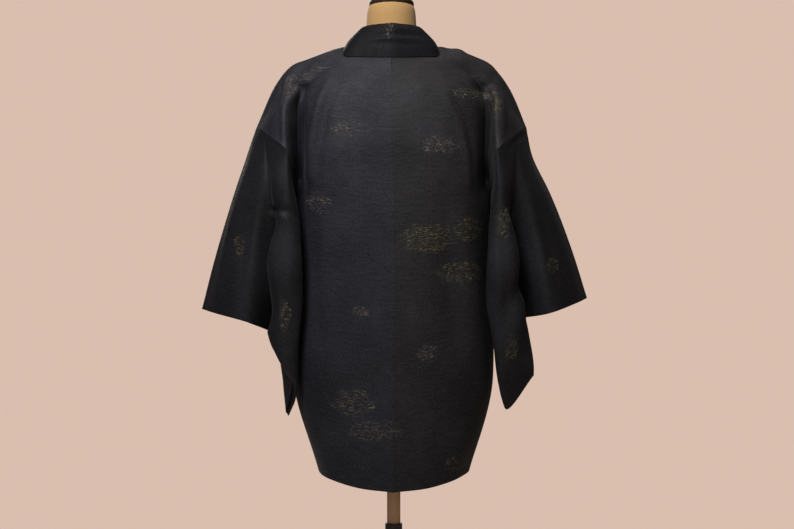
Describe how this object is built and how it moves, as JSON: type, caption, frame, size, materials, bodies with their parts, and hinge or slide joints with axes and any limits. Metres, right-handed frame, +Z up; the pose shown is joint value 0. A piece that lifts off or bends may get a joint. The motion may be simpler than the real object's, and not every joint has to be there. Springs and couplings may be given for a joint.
{
  "type": "haori kimono jacket on a dress form",
  "caption": "Dark silk hip-length kimono jacket with wide hanging sleeves, folded collar band and woven pine and mist motifs, worn by a headless dress form on a pole and round base.",
  "frame": {"origin": "middle of the outline, on the floor under the base", "axes": "the wearer faces -Y, the back of the jacket faces +Y, the wearer's left is +X, +Z is up"},
  "size_m": [0.7354, 0.38, 1.5063],
  "materials": {
    "silk": "satin woven silk, near black blue, with scattered woven motifs",
    "form_cover": "matt buff cover",
    "cap": "dark stained, satin",
    "pole_wood": "satin varnish",
    "base_metal": "dark satin paint"
  },
  "bodies": {
    "root": {"body_left": "silk", "body_right": "silk", "sleeve_left": "silk", "sleeve_right": "silk", "gusset_left": "silk", "gusset_right": "silk", "collar": "silk", "form_torso": "form_cover", "neck_cap": "cap", "pole": "pole_wood", "base": "base_metal"}
  },
  "joints": []
}
